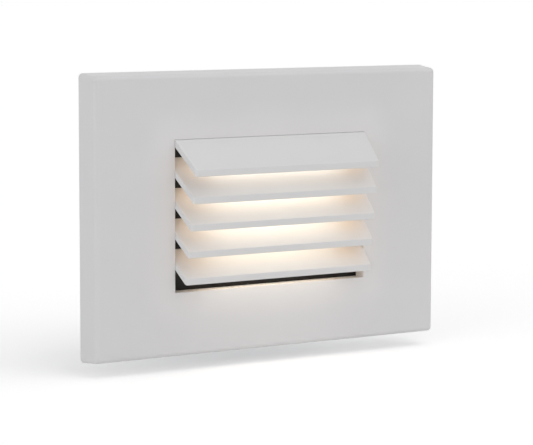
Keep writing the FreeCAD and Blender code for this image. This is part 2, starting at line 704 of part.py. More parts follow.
def make_blade(index):
    body = new_body(f"Blade{index + 1}")
    half = blade_body_x()
    sketch = sketch_on(body, "YZ_Plane", -half, "Section")
    outline(sketch, straight_through(blade_section(index, as_size(0)), index))
    slab = body.newObject("PartDesign::Pad", "Slab")
    slab.Profile = sketch
    slab.setExpression("Length", (half * 2).formula)

    ends = sketch_on(body, "XY_Plane", plate_z, "Ends")
    far = front + size.blade_reach * BEYOND
    turn = front + size.blade_bend_round
    narrow = half - tangent(size.blade_end_draft_angle) * (far - turn)
    outside = half * BEYOND
    for side in (-1, 1):
        outline(ends, (
            (half * side, -turn),
            (narrow * side, -far),
            (outside * side, -far),
            (outside * side, -frame_back + size.overshoot),
            (blade_tongue_x() * side, -frame_back + size.overshoot),
            (blade_tongue_x() * side, -frame_front),
            (half * side, -frame_front),
        ))
    trim = body.newObject("PartDesign::Pocket", "TrimmedEnds")
    trim.Profile = ends
    trim.setExpression("Length", (plate_z * 2).formula)

    tip_y = -(front + blade_reach(index)).value

    def is_corner(edge):
        at_tip = all(near(vertex.Y, tip_y) for vertex in edge.Vertexes)
        return at_tip and near(edge.Vertexes[0].X, edge.Vertexes[-1].X)

    def is_front_edge(edge):
        return near(edge.CenterOfMass.y, tip_y) and edge.BoundBox.XLength > half.value

    def is_bend(edge):
        return near(edge.CenterOfMass.y, -front.value) and edge.BoundBox.XLength > half.value

    if index == 0:
        round_edges(body, size.blade_bend_round, is_bend, "BendRounds")
    round_edges(body, size.blade_corner_round, is_corner, "CornerRounds")
    round_edges(body, size.blade_edge_round, is_front_edge, "EdgeRounds")
    return keep(body, f"louvre_blade_{index + 1}")


def make_louvre_frame():
    """Black frame behind the opening's lip. The blades' narrower roots sit in its slots."""
    body = new_body("LouvreFrame")
    pad(body, lambda sketch: rectangle(sketch, flange_x, flange_z), frame_back, frame_front, "FrameBlank")
    back, ahead = frame_back - size.overshoot, frame_front + size.overshoot
    pocket(body, lambda sketch: rectangle(sketch, frame_window_x, frame_window_z), back, ahead, "Window")

    def draw_holes(sketch):
        for across, up in corners(size.housing_screw_x, housing_screw_z):
            circle(sketch, across, up, size.machine_screw_radius + size.clear_gap)

    pocket(body, draw_holes, back, ahead, "ScrewHoles")
    half = blade_tongue_x() + size.slot_gap
    for index in range(BLADE_COUNT):
        sketch = sketch_on(body, "YZ_Plane", half, f"BladeSlot{index + 1}_sketch")
        outline(sketch, straight_through(blade_section(index, size.slot_gap), index))
        slot = body.newObject("PartDesign::Pocket", f"BladeSlot{index + 1}")
        slot.Profile = sketch
        slot.setExpression("Length", (half * 2).formula)
    return keep(body, "louvre_frame")


# ---------------------------------------------------------------- light space

def make_lens_gasket():
    """Silicone ring with a groove all round for the edge of the lens."""
    body = new_body("LensGasket")
    outer_x, outer_z = recess_x - size.lens_gap, recess_z - size.lens_gap
    pad(body, lambda sketch: rectangle(sketch, outer_x, outer_z), gasket_back, frame_back, "RingBlank")
    pocket(body, lambda sketch: rectangle(sketch, ledge_x, ledge_z), gasket_back - size.overshoot,
           frame_back + size.overshoot, "RingHole")
    groove_x, groove_z = outer_x - size.gasket_side, outer_z - size.gasket_side
    pocket(body, lambda sketch: rectangle(sketch, groove_x, groove_z), lens_back, lens_front, "LensGroove")
    return keep(body, "lens_gasket")


def make_lens():
    body = new_body("Lens")
    half_x = recess_x - size.gasket_side - size.lens_gap * 2
    half_z = recess_z - size.gasket_side - size.lens_gap * 2
    pad(body, lambda sketch: rectangle(sketch, half_x, half_z), lens_back, lens_front, "Pane")
    round_edges(body, size.gasket_side, is_depth_edge, "PaneCorners")
    return keep(body, "lens")


def make_reflector():
    """Tapered trough from the ledge down to the LED board, with a window for the LEDs."""
    body = new_body("Reflector")
    mouth_x, mouth_z = ledge_x - size.lens_gap, ledge_z - size.lens_gap
    floor_x, floor_z = led_window_x + size.reflector_floor_x, led_window_z + size.reflector_floor_z
    wall = size.reflector_wall

    def loft(kind, name, mouth, floor, mouth_out, floor_out):
        large = sketch_on(body, "XZ_Plane", mouth_out, f"{name}_mouth")
        rectangle(large, *mouth)
        small = sketch_on(body, "XZ_Plane", floor_out, f"{name}_floor")
        rectangle(small, *floor)
        feature = body.newObject(kind, name)
        feature.Profile = large
        feature.Sections = [small]
        feature.Ruled = True

    loft("PartDesign::AdditiveLoft", "TroughOutside", (mouth_x, mouth_z), (floor_x, floor_z),
         gasket_back, led_board_front)
    loft("PartDesign::SubtractiveLoft", "TroughInside", (mouth_x - wall, mouth_z - wall),
         (floor_x - wall, floor_z - wall), gasket_back, led_board_front + wall)
    pocket(body, lambda sketch: rectangle(sketch, led_window_x, led_window_z), led_board_front - size.overshoot,
           led_board_front + wall + size.overshoot, "LedWindow")
    return keep(body, "reflector")


def make_led_board():
    blank = block("LedBoardBlank", 0, led_board_back, led_board_front, 0,
                  led_board_x, led_board_z)
    back, ahead = led_board_back - size.overshoot, led_board_front + size.overshoot
    holes = [
        rod(f"LedBoardHole{number}", across, back, ahead, 0, size.small_screw_radius + size.clear_gap)
        for number, across in enumerate((-led_screw_x, led_screw_x))
    ]
    holes += [
        rod(f"LedBoardLeadHole{number}", lead_x, back, ahead, size.lead_pitch / 2 * side,
            size.lead_radius)
        for number, side in enumerate((-1, 1))
    ]
    keep(cut("LedBoard", blank, holes), "led_board")

    chips = []
    led_face = led_board_front + size.led_thickness
    for line in range(LED_ROWS):
        for column in range(LEDS_PER_ROW):
            across = size.led_pitch_x * (column - (LEDS_PER_ROW - 1) / 2)
            up = size.led_pitch_z * (line - (LED_ROWS - 1) / 2)
            name = f"Led{line * LEDS_PER_ROW + column + 1}"
            package = block(f"{name}_package", across, led_board_front, led_face, up,
                            size.led_width / 2, size.led_height / 2)
            dish = rod(f"{name}_dish", across, led_face - size.led_dish_depth, led_face + size.overshoot,
                       up, size.led_dish_radius)
            chips.append(cut(name, package, [dish]))
    group("led_chips", chips)

    group("led_board_screws", [
        screw(f"LedBoardScrew{number}", across, as_size(0), led_board_front, web_front - size.screw_bite,
              size.small_screw_radius, size.small_head_radius, size.small_head)
        for number, across in enumerate((-led_screw_x, led_screw_x))
    ])


def make_thermal_pad():
    blank = block("ThermalPadBlank", 0, web_front, led_board_back, 0, led_screw_x - size.pad_screw_gap,
                  led_board_z)
    return keep(blank, "thermal_pad")


def make_led_leads():
    """Two short stiff leads, soldered in the LED board and in the driver board."""
    group("led_leads", [
        rod(f"LedLead{number}", lead_x, driver_board_front, led_board_front + size.pad_wall,
            size.lead_pitch / 2 * side, size.lead_radius)
        for number, side in enumerate((-1, 1))
    ])


# ---------------------------------------------------------------- housing

def make_housing():
    body = new_body("Housing")
    pad(body, lambda sketch: rectangle(sketch, housing_x, housing_z), housing_back, flange_back, "LightBox")
    round_edges(body, size.housing_round, is_depth_edge, "BoxCorners")
    pad(body, lambda sketch: rectangle(sketch, flange_x, flange_z), flange_back, frame_back, "Flange")
    pocket(body, lambda sketch: rectangle(sketch, recess_x, recess_z), gasket_back, frame_back, "LensRecess")
    pocket(body, lambda sketch: rectangle(sketch, ledge_x, ledge_z), web_front, gasket_back, "LightSpace")
    pocket(body, lambda sketch: rectangle(sketch, driver_x, driver_z), housing_back, web_back, "DriverSpace")

    def draw_posts(sketch):
        for across, up in corners(post_x, post_z):
            circle(sketch, across, up, size.cover_post_radius)

    def draw_webs(sketch):
        half = size.cover_post_radius / 2 + size.housing_wall / 4
        for across, up in corners(post_x + half, post_z + half):
            rectangle(sketch, half, half, across, up)

    pad(body, draw_posts, housing_back, web_back + size.web / 4, "CoverPosts")
    pad(body, draw_webs, housing_back, web_back + size.web / 4, "CoverPostWebs")

    def draw_screw_holes(sketch):
        for across, up in corners(size.housing_screw_x, housing_screw_z):
            circle(sketch, across, up, size.machine_screw_radius + size.clear_gap)

    def draw_cover_pilots(sketch):
        for across, up in corners(post_x, post_z):
            circle(sketch, across, up, size.small_screw_radius + size.thread_gap)

    def draw_led_pilots(sketch):
        for side in (-1, 1):
            circle(sketch, led_screw_x * side, 0, size.small_screw_radius + size.thread_gap)

    def draw_driver_pilots(sketch):
        for side in (-1, 1):
            circle(sketch, driver_screw_x * side, size.driver_screw_z * side,
                   size.small_screw_radius + size.thread_gap)

    def draw_lead_holes(sketch):
        for side in (-1, 1):
            circle(sketch, lead_x, size.lead_pitch / 2 * side, size.lead_radius + size.lead_hole_gap)

    pocket(body, draw_screw_holes, flange_back - size.overshoot, frame_back + size.overshoot, "FlangeHoles")
    pocket(body, draw_cover_pilots, housing_back, housing_back + size.cover_hole_depth, "CoverPilots")
    pocket(body, draw_led_pilots, web_front - size.screw_hole_depth, web_front, "LedPilots")
    pocket(body, draw_driver_pilots, web_back, web_back + size.screw_hole_depth, "DriverPilots")
    pocket(body, draw_lead_holes, web_back - size.overshoot, web_front + size.overshoot, "LeadHoles")
    return keep(body, "housing")


def make_housing_screws():
    """From behind the flange through the louvre frame into the faceplate's bosses."""
    group("housing_screws", [
        screw(f"HousingScrew{number}", across, up, flange_back, frame_front + size.screw_bite,
              size.machine_screw_radius, size.machine_head_radius, size.machine_head)
        for number, (across, up) in enumerate(corners(size.housing_screw_x, housing_screw_z))
    ])


# ---------------------------------------------------------------- driver

def make_driver_tray():
    body = new_body("DriverTray")
    tray_open = web_back - size.tray_depth
    pad(body, lambda sketch: rectangle(sketch, tray_x, tray_z), tray_open, web_back, "TrayBlank")
    inner_x, inner_z = tray_x - size.tray_wall, tray_z - size.tray_wall
    pocket(body, lambda sketch: rectangle(sketch, inner_x, inner_z), tray_open, tray_back, "TrayHollow")

    def draw_pillars(sketch):
        for side in (-1, 1):
            circle(sketch, driver_screw_x * side, size.driver_screw_z * side, size.standoff_radius)

    pad(body, draw_pillars, driver_board_front, tray_back + size.tray_wall / 2, "Pillars")

    def draw_holes(sketch):
        for side in (-1, 1):
            circle(sketch, driver_screw_x * side, size.driver_screw_z * side,
                   size.small_screw_radius + size.clear_gap)
            circle(sketch, lead_x, size.lead_pitch / 2 * side, size.lead_radius + size.lead_hole_gap)

    pocket(body, draw_holes, driver_board_front - size.overshoot, web_back + size.overshoot, "TrayHoles")
    return keep(body, "driver_tray")


def make_driver_board():
    blank = block("DriverBoardBlank", 0, driver_board_back, driver_board_front, 0,
                  driver_board_x, driver_board_z)
    back, ahead = driver_board_back - size.overshoot, driver_board_front + size.overshoot
    holes = [
        rod(f"DriverBoardHole{number}", driver_screw_x * side, back, ahead,
            size.driver_screw_z * side, size.small_screw_radius + size.clear_gap)
        for number, side in enumerate((-1, 1))
    ]
    keep(cut("DriverBoard", blank, holes), "driver_board")
    group("driver_screws", [
        screw(f"DriverScrew{number}", driver_screw_x * side, size.driver_screw_z * side,
              driver_board_back, web_back + size.screw_bite, size.small_screw_radius,
              size.small_head_radius, size.small_head)
        for number, side in enumerate((-1, 1))
    ])


def make_transformer():
    """Ferrite core with two windows and the winding round its middle leg."""
    back = driver_board_back - size.transformer_depth
    across, up = size.transformer_x * spread, size.transformer_z
    half_x, half_z = size.transformer_width / 2, size.transformer_height / 2
    leg = size.transformer_leg
    core = block("TransformerCore", across, back, driver_board_back, up, half_x, half_z)
    window_half = (half_x - leg - leg / 2) / 2
    windows = [
        block(f"TransformerWindow{number}", across + (leg / 2 + window_half) * side,
              back - size.overshoot, driver_board_back + size.overshoot, up, window_half, half_z - leg)
        for number, side in enumerate((-1, 1))
    ]
    winding = block("TransformerWinding", across, back + leg / 2, driver_board_back - leg / 2, up,
                    half_x - leg, half_z - leg)
    keep(join("Transformer", [cut("TransformerFrame", core, windows), winding]), "transformer")


def make_round_capacitors():
    """Three electrolytic cans with the crossed vent score in their tops."""
    cans = []
    aside = size.capacitor_x * spread
    spots = ((-aside, size.capacitor_high_z),
             (-aside, size.capacitor_high_z - size.capacitor_pitch),
             (aside, -size.capacitor_low_z))
    back = driver_board_back - size.capacitor_depth
    score_floor = back + size.can_score_depth
    groove_high = driver_board_back - size.can_groove_place
    groove_low = groove_high - size.can_groove_width
    reach, half_width = size.can_score_reach, size.can_score_half_width
    for number, (across, up) in enumerate(spots):
        can = rod(f"Can{number}", across, back, driver_board_back, up, size.capacitor_radius)
        ring = rod(f"CanGrooveRing{number}", across, groove_low, groove_high, up,
                   size.capacitor_radius + size.overshoot)
        neck = rod(f"CanNeck{number}", across, groove_low, groove_high, up,
                   size.capacitor_radius - size.can_groove_depth)
        cans.append(cut(f"Capacitor{number}", can, [
            cut(f"CanGroove{number}", ring, [neck]),
            block(f"CanScoreAcross{number}", across, back - size.overshoot, score_floor, up, reach, half_width),
            block(f"CanScoreUp{number}", across, back - size.overshoot, score_floor, up, half_width, reach),
        ]))
    group("smoothing_capacitors", cans)


def make_line_capacitor():
    back = driver_board_back - size.line_capacitor_depth
    solid = block("LineCapacitorBlank", -size.line_capacitor_x * spread, back, driver_board_back,
                  -size.line_capacitor_z, size.line_capacitor_width / 2, size.line_capacitor_height / 2)
    return keep(rounded("LineCapacitor", solid), "line_capacitor")


def rounded(name, solid):
    """Rounds every edge of a moulded case that doesn't lie on the driver board."""
    DOCUMENT.recompute()
    feature = DOCUMENT.addObject("Part::Fillet", name)
    feature.Base = solid
    board_y = -driver_board_back.value
    chosen = [
        (number, size.case_round.value, size.case_round.value)
        for number, edge in enumerate(solid.Shape.Edges, start=1)
        if not near(edge.CenterOfMass.y, board_y)
    ]
    feature.Edges = chosen
    return feature


def make_bridge_and_chip():
    back = driver_board_back - size.bridge_depth
    bridge = block("BridgeBlank", -size.bridge_x * spread, back, driver_board_back, size.bridge_z,
                   size.bridge_width / 2, size.bridge_height / 2)
    keep(rounded("Bridge", bridge), "bridge_rectifier")

    across = size.chip_x * spread
    case = block("ChipCase", across, driver_board_back - size.chip_depth,
                 driver_board_back - size.chip_underside, -size.chip_z,
                 size.chip_width / 2, size.chip_height / 2)
    legs = []
    for side, words in ((-1, "Left"), (1, "Right")):
        for number in range(CHIP_LEGS_PER_SIDE):
            up = size.chip_leg_pitch * (number - (CHIP_LEGS_PER_SIDE - 1) / 2) - size.chip_z
            legs.append(block(f"ChipLeg{words}{number}", across + size.chip_leg_x * side,
                              driver_board_back - size.chip_leg_height, driver_board_back, up,
                              size.chip_leg_half_length, size.chip_leg_half_width))
    keep(join("Chip", [case] + legs), "control_chip")


def make_choke():
    """Drum with a disc at each end of its winding."""
    back = driver_board_back - size.choke_depth
    across = size.choke_x * spread
    low_disc = rod("ChokeLowDisc", across, driver_board_back - size.choke_disc, driver_board_back,
                   -size.choke_z, size.choke_radius)
    high_disc = rod("ChokeHighDisc", across, back, back + size.choke_disc, -size.choke_z,
                    size.choke_radius)
    winding = rod("ChokeWinding", across, back, driver_board_back, -size.choke_z,
                  size.choke_core_radius)
    keep(join("Choke", [low_disc, high_disc, winding]), "line_choke")


def make_fuse():
    """Glass fuse that lies across the board, with a metal cap on each end."""
    pieces = []
    half = size.fuse_length / 2
    spans = ((-half, half, size.fuse_radius),
             (-half, -half + size.fuse_cap, size.fuse_cap_radius),
             (half - size.fuse_cap, half, size.fuse_cap_radius))
    for number, (start, end, radius) in enumerate(spans):
        tube = DOCUMENT.addObject("Part::Cylinder", f"FusePart{number}")
        tube.setExpression("Radius", radius.formula)
        tube.setExpression("Height", (end - start).formula)
        tube.Placement = FreeCAD.Placement(FreeCAD.Vector(), FreeCAD.Rotation(FreeCAD.Vector(0, 1, 0), 90))
        place(tube, (start - size.fuse_x * spread, -driver_board_back + size.fuse_cap_radius, size.fuse_z))
        pieces.append(tube)
    keep(join("Fuse", pieces), "fuse")


# ---------------------------------------------------------------- rear cover

def make_cover_gasket():
    body = new_body("CoverGasket")
    pad(body, lambda sketch: rectangle(sketch, housing_x, housing_z), cover_front, housing_back, "RingBlank")
    round_edges(body, size.housing_round, is_depth_edge, "RingCorners")
    pocket(body, lambda sketch: rectangle(sketch, driver_x, driver_z), cover_front - size.overshoot,
           housing_back + size.overshoot, "RingHole")
    return keep(body, "cover_gasket")


def make_rear_cover():
    body = new_body("RearCover")
    pad(body, lambda sketch: rectangle(sketch, housing_x, housing_z), cover_back, cover_front, "CoverBlank")
    round_edges(body, size.housing_round, is_depth_edge, "CoverCorners")

    def draw_holes(sketch):
        circle(sketch, 0, 0, size.grommet_hole_radius)
        for across, up in corners(post_x, post_z):
            circle(sketch, across, up, size.small_screw_radius + size.clear_gap)

    pocket(body, draw_holes, cover_back - size.overshoot, cover_front + size.overshoot, "CoverHoles")
    keep(body, "rear_cover")
    group("cover_screws", [
        screw(f"CoverScrew{number}", across, up, cover_back, housing_back + size.cover_bite,
              size.small_screw_radius, size.small_head_radius, size.small_head)
        for number, (across, up) in enumerate(corners(post_x, post_z))
    ])


def make_cable_grommet():
    """Rubber ring turned about Y: a collar on each side of the cover, and a bore for the leads."""
    body = new_body("CableGrommet")
    sketch = sketch_on(body, "XY_Plane", as_size(0), "Profile")
    bore, neck = size.grommet_bore_radius, size.grommet_hole_radius - size.grommet_hole_gap
    collar = size.grommet_hole_radius + size.grommet_flange
    inner_y, outer_y = -cover_front, -cover_back
    outline(sketch, (
        (bore, inner_y - size.grommet_collar),
        (collar, inner_y - size.grommet_collar),
        (collar, inner_y),
        (neck, inner_y),
        (neck, outer_y),
        (collar, outer_y),
        (collar - size.grommet_flange / 2, outer_y + size.grommet_collar),
        (bore, outer_y + size.grommet_collar),
    ))
    ring = body.newObject("PartDesign::Revolution", "Ring")
    ring.Profile = sketch
    ring.ReferenceAxis = (sketch, ["V_Axis"])
    ring.Angle = 360
    return keep(body, "cable_grommet")


# ---------------------------------------------------------------- bracket

def make_bracket():
    body = new_body("Bracket")
    wall = size.bracket_wall
    fold_x = size.bracket_fold_width / 2
    plate_half_z = bracket_z - size.fold_relief
    pad(body, lambda sketch: rectangle(sketch, bracket_x, plate_half_z), as_size(0), wall, "BracketPlate")
    round_edges(body, size.bracket_corner_round, is_depth_edge, "BracketCorners")
    pad(body, lambda sketch: rectangle(sketch, fold_x, bracket_z), as_size(0), wall, "FoldRoots")

    def draw_folds(sketch):
        for side in (-1, 1):
            rectangle(sketch, fold_x, wall / 2, 0, (bracket_z - wall / 2) * side)

    pad(body, draw_folds, as_size(0), wall + size.bracket_fold_depth, "Folds")

    def is_fold_edge(edge):
        middle = edge.CenterOfMass
        return near(middle.y, 0) and near(abs(middle.z), bracket_z.value) and edge.Length > fold_x.value

    round_edges(body, size.fold_round, is_fold_edge, "FoldRounds")
    seat_back = wall / 2
    pad(body, lambda sketch: circle(sketch, -ground_x, -ground_z, size.ground_seat_radius),
        seat_back, wall + size.ground_seat, "EarthSeat")
    window_x = housing_x + size.bracket_window_gap
    window_z = housing_z + size.bracket_window_gap
    head_radius = size.machine_head_radius + size.head_gap
    behind, ahead = -size.overshoot, wall + size.overshoot
    pocket(body, lambda sketch: rectangle(sketch, window_x, window_z), behind, ahead, "Window")

    def draw_head_holes(sketch):
        for across, up in corners(size.housing_screw_x, housing_screw_z):
            circle(sketch, across, up, head_radius)

    def draw_head_notches(sketch):
        half = (housing_screw_z - window_z) / 2 + size.head_gap / 2
        middle = housing_screw_z - half
        for across, up in corners(size.housing_screw_x, middle):
            rectangle(sketch, head_radius, half, across, up)

    def draw_slots(sketch):
        half_straight = (size.box_slot_length - size.box_slot_width) / 2
        for side in (-1, 1):
            long_slot(sketch, box_screw_x * side, 0, half_straight, size.box_slot_width / 2)

    pocket(body, draw_head_holes, behind, ahead, "ScrewHeadHoles")
    pocket(body, draw_head_notches, behind, ahead, "ScrewHeadNotches")
    pocket(body, draw_slots, behind, ahead, "BoxScrewSlots")
    pocket(body, lambda sketch: circle(sketch, -ground_x, -ground_z,
                                       size.ground_radius + size.thread_gap),
           behind, ahead + size.ground_seat, "EarthHole")
    return keep(body, "mounting_bracket")


def make_bracket_screws():
    screws = []
    for side, words in ((-1, "Left"), (1, "Right")):
        name = f"BoxScrew{words}"
        across = box_screw_x * side
        top = screw(f"{name}_top", across, as_size(0), size.bracket_wall, as_size(0),
                    size.box_screw_neck_radius, size.box_screw_head_radius, size.box_screw_head)
        thread = rod(f"{name}_thread", across, size.bracket_wall - size.box_screw_length, 0, 0,
                     size.box_screw_radius)
        screws.append(join(name, [top, thread]))
    group("box_screws", screws)
    seat = size.bracket_wall + size.ground_seat
    earth = screw("EarthScrew", -ground_x, -ground_z, seat, size.ground_tip_gap,
                  size.ground_radius, size.ground_head_radius, size.ground_head)
    keep(earth, "ground_screw")


# ---------------------------------------------------------------- build, check, write

make_faceplate()
make_wall_gasket()
make_set_screws()
for blade_number in range(BLADE_COUNT):
    make_blade(blade_number)
make_louvre_frame()
make_lens_gasket()
make_lens()
make_reflector()
make_led_board()
make_thermal_pad()
make_led_leads()
make_housing()
make_housing_screws()
make_driver_tray()
make_driver_board()
make_transformer()
make_round_capacitors()
make_line_capacitor()
make_bridge_and_chip()
make_choke()
make_fuse()
make_cover_gasket()
make_rear_cover()
make_cable_grommet()
make_bracket()
make_bracket_screws()

DOCUMENT.recompute()
for item in DOCUMENT.Objects:
    if "Invalid" in item.State or "Error" in item.State:
        raise RuntimeError(f"{item.Label} failed to build: {item.State}")
for item in SUBPARTS:
    if item.Shape.isNull() or not item.Shape.isValid():
        raise RuntimeError(f"{item.Label} has no valid shape")

os.makedirs("parts", exist_ok=True)
for item in SUBPARTS:
    item.Shape.exportStep(os.path.join("parts", f"{item.Label}.step"))
    box = item.Shape.BoundBox
    print(f"{item.Label:22} solids {len(item.Shape.Solids):2}  volume {item.Shape.Volume:10.2f}  "
          f"X {box.XMin:7.2f} {box.XMax:7.2f}  Y {box.YMin:7.2f} {box.YMax:7.2f}  "
          f"Z {box.ZMin:7.2f} {box.ZMax:7.2f}")
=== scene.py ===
import math

import bpy
from mathutils import Matrix, Vector


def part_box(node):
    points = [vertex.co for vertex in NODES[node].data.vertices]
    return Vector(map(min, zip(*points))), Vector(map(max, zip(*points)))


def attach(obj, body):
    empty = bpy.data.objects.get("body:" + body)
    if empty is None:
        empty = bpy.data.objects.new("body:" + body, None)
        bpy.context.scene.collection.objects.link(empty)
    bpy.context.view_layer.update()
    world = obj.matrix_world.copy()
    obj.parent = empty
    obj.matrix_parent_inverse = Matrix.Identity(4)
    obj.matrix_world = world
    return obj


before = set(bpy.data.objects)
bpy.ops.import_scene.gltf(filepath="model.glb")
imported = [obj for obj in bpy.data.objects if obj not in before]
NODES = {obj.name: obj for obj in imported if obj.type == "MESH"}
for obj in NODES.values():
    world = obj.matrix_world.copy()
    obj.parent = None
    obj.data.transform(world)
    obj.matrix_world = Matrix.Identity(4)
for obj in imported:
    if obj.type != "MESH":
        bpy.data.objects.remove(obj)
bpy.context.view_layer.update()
SCENE = bpy.context.scene

# Metres, +Z up, +X to the right of someone who faces the light. The faceplate looks towards -Y.
PLATE_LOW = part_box("faceplate")[0]
BLADES = [f"louvre_blade_{number}" for number in range(1, 6)]

CAMERA_PLACE = (-0.36480, -0.60167, 0.07633)
CAMERA_YAW = 0.549            # radians, turned to the right of straight ahead
CAMERA_PITCH = -0.1146        # radians, down
CAMERA_ROLL = 0.0024          # radians
CAMERA_LENS = 149.67          # mm, on a sensor 36 mm wide
CAMERA_NEAR = 0.01

FLOOR_HALF = 6.0
FLOOR_DROP = 0.004            # the floor lies this far below the faceplate
FLOOR_GREY = 0.92
FLOOR_LIFT = 0.285            # what the floor adds for the rays that see the background
ROOM_LIGHT = 0.565
ROOM_COLOR = (1.0, 0.997, 1.0, 1)

# Where a sun stands, its strength, and its softness in degrees.
KEY_SUN = ((0.8, -0.9, 1.3), 0.75, 80)
FILL_SUN = ((-1.3, -0.45, 0.15), 0.85, 60)

# Lamps under the blades. They stand in for the LEDs' light that bounces between the blades, and
# their powers are set to look like the lit louvre.
BLADE_SLOPE = math.radians(38.95)
BLADE_FACE = 0.0023           # height of a blade's upright front edge
GAP_LIGHT_WIDTH = 0.050
GAP_LIGHT_REACH = 0.008
GAP_LIGHT_AHEAD = 0.0034      # middle of a lamp, in front of the faceplate
GAP_LIGHT_BELOW = 0.0002      # lamp below the blade's underside
GAP_END_WIDTH = 0.008
GAP_POWER = (0.0027, 0.0018, 0.0015, 0.0009, 0.0013)
END_POWER = (0.00022, 0.00020, 0.00018, 0.00014)
LEFT_END_SHARE = 0.6
WARM = (1.0, 0.90, 0.76)
AMBER = (1.0, 0.58, 0.22)

OPENING_X = 0.0350            # half the louvre opening's width
OPENING_Z = 0.02375           # half its height
# Painted glow: the faceplate's own paint emits a faint warm light round the opening.
PAINTED_GLOW_REACH = 0.014           # how far the painted warm glow round the opening goes
PAINTED_GLOW_STRENGTH = 0.04
PAINTED_GLOW_COLOR = (1.0, 0.86, 0.70, 1)
LENS_LIGHT = 2.8
LENS_BRIGHT_X = 0.012         # the lens is at its brightest this far from its middle
LENS_END_SHARE = 0.2
LENS_END_COLOR = (1.0, 0.46, 0.16, 1)
LENS_MIDDLE_COLOR = (1.0, 0.88, 0.68, 1)
THREAD_PITCH = 0.0008
WAVE_SCALE = math.pi / 10     # scale of a wave texture whose bands are 1 m apart


# ---------------------------------------------------------------- camera, floor and light

def aim(position, forward, roll=0.0):
    """World matrix of something that looks along forward, with its top up."""
    forward = Vector(forward).normalized()
    right = forward.cross(Vector((0, 0, 1))).normalized()
    up = right.cross(forward)
    turn = Matrix.Rotation(-roll, 3, forward)
    right, up = turn @ right, turn @ up
    basis = Matrix((right, up, -forward)).transposed()
    return Matrix.Translation(position) @ basis.to_4x4()


def add_camera():
    data = bpy.data.cameras.new("camera")
    data.lens = CAMERA_LENS
    data.sensor_width = 36.0
    data.clip_start = CAMERA_NEAR
    level = math.cos(CAMERA_PITCH)
    forward = (math.sin(CAMERA_YAW) * level, math.cos(CAMERA_YAW) * level, math.sin(CAMERA_PITCH))
    camera = bpy.data.objects.new("camera", data)
    camera.matrix_world = aim(CAMERA_PLACE, forward, CAMERA_ROLL)
    SCENE.collection.objects.link(camera)
    SCENE.camera = camera


def background_rays(tree):
    """1 for the camera's own rays and for what metal and glass show of the background, else 0."""
    path = tree.nodes.new("ShaderNodeLightPath")
    seen = path.outputs["Is Camera Ray"]
    for kind in ("Is Glossy Ray", "Is Transmission Ray"):
        either = tree.nodes.new("ShaderNodeMath")
        either.operation = "MAXIMUM"
        tree.links.new(seen, either.inputs[0])
        tree.links.new(path.outputs[kind], either.inputs[1])
        seen = either.outputs[0]
    return seen


def add_floor():
    z = PLATE_LOW.z - FLOOR_DROP
    corners = [(x * FLOOR_HALF, y * FLOOR_HALF, z) for x, y in ((-1, -1), (1, -1), (1, 1), (-1, 1))]
    mesh = bpy.data.meshes.new("floor")
    mesh.from_pydata(corners, [], [(0, 1, 2, 3)])
    floor = bpy.data.objects.new("floor", mesh)
    SCENE.collection.objects.link(floor)
    material = bpy.data.materials.new("floor")
    material.use_nodes = True
    tree = material.node_tree
    tree.nodes.clear()
    out = tree.nodes.new("ShaderNodeOutputMaterial")
    diffuse = tree.nodes.new("ShaderNodeBsdfDiffuse")
    diffuse.inputs["Color"].default_value = (FLOOR_GREY, FLOOR_GREY, FLOOR_GREY, 1)
    glow = tree.nodes.new("ShaderNodeEmission")
    glow.inputs["Color"].default_value = (1, 1, 1, 1)
    strength = tree.nodes.new("ShaderNodeMath")
    strength.operation = "MULTIPLY"
    strength.inputs[1].default_value = FLOOR_LIFT
    both = tree.nodes.new("ShaderNodeAddShader")
    tree.links.new(background_rays(tree), strength.inputs[0])
    tree.links.new(strength.outputs[0], glow.inputs["Strength"])
    tree.links.new(diffuse.outputs[0], both.inputs[0])
    tree.links.new(glow.outputs[0], both.inputs[1])
    tree.links.new(both.outputs[0], out.inputs["Surface"])
    mesh.materials.append(material)


def add_world():
    world = bpy.data.worlds.new("studio")
    SCENE.world = world
    world.use_nodes = True
    tree = world.node_tree
    tree.nodes.clear()
    out = tree.nodes.new("ShaderNodeOutputWorld")
    room = tree.nodes.new("ShaderNodeBackground")
    room.inputs["Color"].default_value = ROOM_COLOR
    room.inputs["Strength"].default_value = ROOM_LIGHT
    white = tree.nodes.new("ShaderNodeBackground")
    white.inputs["Color"].default_value = (1, 1, 1, 1)
    white.inputs["Strength"].default_value = 1.0
    mix = tree.nodes.new("ShaderNodeMixShader")
    tree.links.new(background_rays(tree), mix.inputs["Fac"])
    tree.links.new(room.outputs[0], mix.inputs[1])
    tree.links.new(white.outputs[0], mix.inputs[2])
    tree.links.new(mix.outputs[0], out.inputs["Surface"])


def blade_underside(number, y):
    """Height of a blade's underside in front of the faceplate. The top blade bends at its face."""
    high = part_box(f"louvre_blade_{number}")[1]
    bend = PLATE_LOW.y if number == 1 else high.y
    return high.z - (bend - y) * math.tan(BLADE_SLOPE) - BLADE_FACE


def add_gap_light(number, middle, width, power, color):
    """A lamp at a blade's underside that shines down on the next blade or on the faceplate."""
    y = PLATE_LOW.y - GAP_LIGHT_AHEAD
    down = (0, math.sin(BLADE_SLOPE), -math.cos(BLADE_SLOPE))
    data = bpy.data.lights.new("gap", "AREA")
    data.shape = "RECTANGLE"
    data.size = width
    data.size_y = GAP_LIGHT_REACH
    data.energy = power
    data.color = color
    light = bpy.data.objects.new(f"gap_{number}", data)
    light.matrix_world = aim((middle, y, blade_underside(number, y) - GAP_LIGHT_BELOW), down)
    light.visible_camera = False
    light.visible_glossy = False
    SCENE.collection.objects.link(light)
    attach(light, "light")


def add_sun(name, source, strength, softness):
    """Light from a direction, the same everywhere, with soft shadows."""
    data = bpy.data.lights.new(name, "SUN")
    data.energy = strength
    data.angle = math.radians(softness)
    sun = bpy.data.objects.new(name, data)
    sun.matrix_world = aim(source, -Vector(source))
    SCENE.collection.objects.link(sun)


